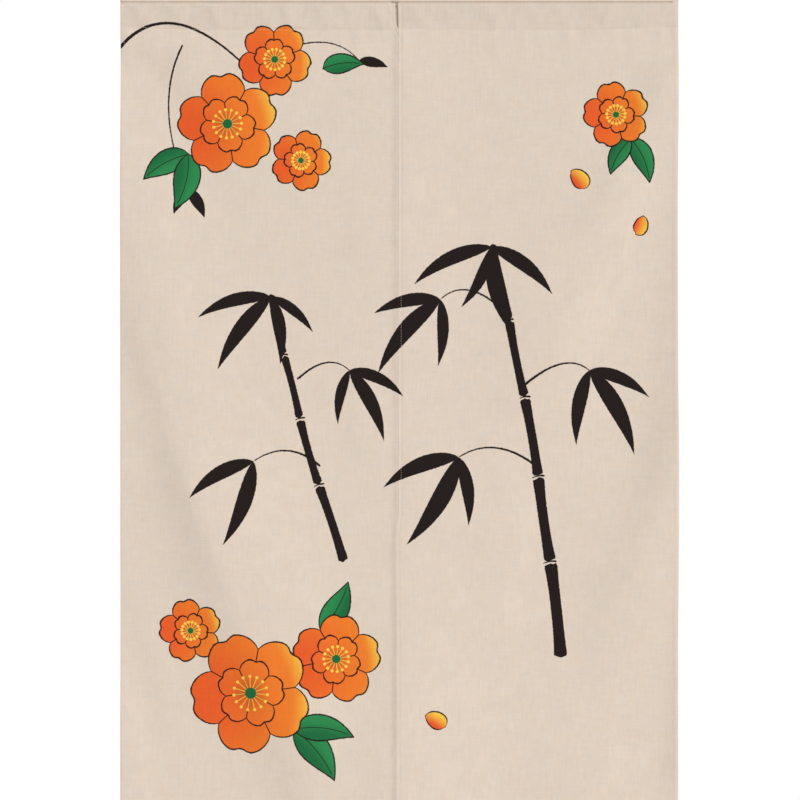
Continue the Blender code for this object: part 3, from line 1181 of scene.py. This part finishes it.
def hemRows(side):
    outer = outerEdge(side)
    inward = 1.0 if side == "left" else -1.0
    inset = hemLooks[side]["lineAt"] - 0.2
    down = np.arange(panel["top"] + 1.5, panel["length"] - 1.0, 1.5)
    level = np.arange(-panel["outer"] + 1.0, panel["outer"], 1.5)
    inner = innerEdge(side, down) - inward * hemLooks["split"]["lineAt"]
    bottom = panel["length"] - panel["bottomHem"] + 0.5
    if side == "left":
        level = level[level < innerEdge(side, bottom) - 1.0]
    else:
        level = level[level > innerEdge(side, bottom) + 1.0]
    rows = []
    for behind in (False, True):
        rows.append(sewnLine(side, np.full(down.shape, outer + inward * inset), down, behind))
        rows.append(sewnLine(side, inner, down, behind))
        rows.append(sewnLine(side, level, np.full(level.shape, bottom), behind))
    return rows


seamSpans = {  # where the stitches of the top row and of the seam start and end
    "left": ((-423.5, -12.5), (-423.5, -3.0)),
    "right": ((1.0, 423.5), (1.0, 423.5)),
}


def seamRows():
    rows = []
    for side, (upper, lower) in seamSpans.items():
        top = np.arange(*upper, 1.5)
        low = np.arange(*lower, 1.5)
        for level, drop in ((top, np.full(top.shape, panel["topStitch"])), (low, seamAt(low))):
            rows.append(sewnLine(side, level, drop, False))
            behind = np.stack([level, np.full(level.shape, cloth["thick"]), -drop], axis=-1)
            rows.append((behind, 1.0))
    return rows


hemSewingLeft = sewRows("hemSewingLeft", hemRows("left"), thread)
hemSewingRight = sewRows("hemSewingRight", hemRows("right"), thread)
headingSewing = sewRows("headingSewing", seamRows(), thread)
print("hems and seam sewn")


# Stage and light
stage = {"floorDrop": 1.95, "floorSize": 5.0}

light = {
    "worldFill": 0.588,
    "key": dict(name="keyLight", towards=(0.62, -0.70, 0.36), strength=1.82, softness=16.0),
    "behind": dict(name="backLight", towards=(-0.66, 0.74, 0.12), strength=0.7, softness=24.0),
}


def floorMaterial():
    material = bpy.data.materials.new("paleFloor")
    kit = nodeKit(material)
    place = kit.tree.nodes.new("ShaderNodeTexCoord").outputs["Object"]
    shader = kit.tree.nodes["Principled BSDF"]
    shader.inputs["Roughness"].default_value = 0.8
    pale = kit.mix(kit.noise(place, 3.0), tint("floor", 0.97), tint("floor", 1.03))
    kit.feed(shader, "Base Color", pale)
    return material


def makeStage():
    deselect()
    bpy.ops.mesh.primitive_plane_add(size=stage["floorSize"], location=(0, 0, -stage["floorDrop"]))
    floor = bpy.context.object
    floor.name = "floor"
    floor.data.materials.append(floorMaterial())


def addLight(name, towards, strength, softness):
    # an even soft light, so nothing falls off from top to bottom
    deselect()
    bpy.ops.object.light_add(type="SUN", location=[3 * part for part in towards])
    lamp = bpy.context.object
    lamp.name = name
    lamp.data.energy = strength
    lamp.data.angle = math.radians(softness)
    x, y, z = towards
    lamp.rotation_euler = (math.acos(z / math.sqrt(x * x + y * y + z * z)), 0, math.atan2(x, -y))


def makeWorld():
    # white to the eye, softer as a light
    world = bpy.data.worlds.new("whiteRoom")
    bpy.context.scene.world = world
    world.use_nodes = True
    nodes = world.node_tree.nodes
    links = world.node_tree.links
    seen = nodes.new("ShaderNodeLightPath")
    strength = nodes.new("ShaderNodeMapRange")
    strength.inputs["To Min"].default_value = light["worldFill"]
    strength.inputs["To Max"].default_value = 1.0
    nodes["Background"].inputs["Color"].default_value = (1, 1, 1, 1)
    links.new(seen.outputs["Is Camera Ray"], strength.inputs["Value"])
    links.new(strength.outputs[0], nodes["Background"].inputs["Strength"])


makeStage()
addLight(**light["key"])
addLight(**light["behind"])
makeWorld()
bpy.context.scene.view_settings.view_transform = "Standard"
bpy.context.scene.view_settings.look = "None"
print("stage and light set")


# What each piece stands for
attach(panelLeft, "root")
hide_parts("panel_left")
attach(panelRight, "root")
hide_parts("panel_right")
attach(headingBand, "root")
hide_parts("heading_band")
sewing = [(hemSewingLeft, "panel_cloth"), (hemSewingRight, "panel_cloth"), (headingSewing, "band_cloth")]
for piece, slot in sewing:
    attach(piece, "root")
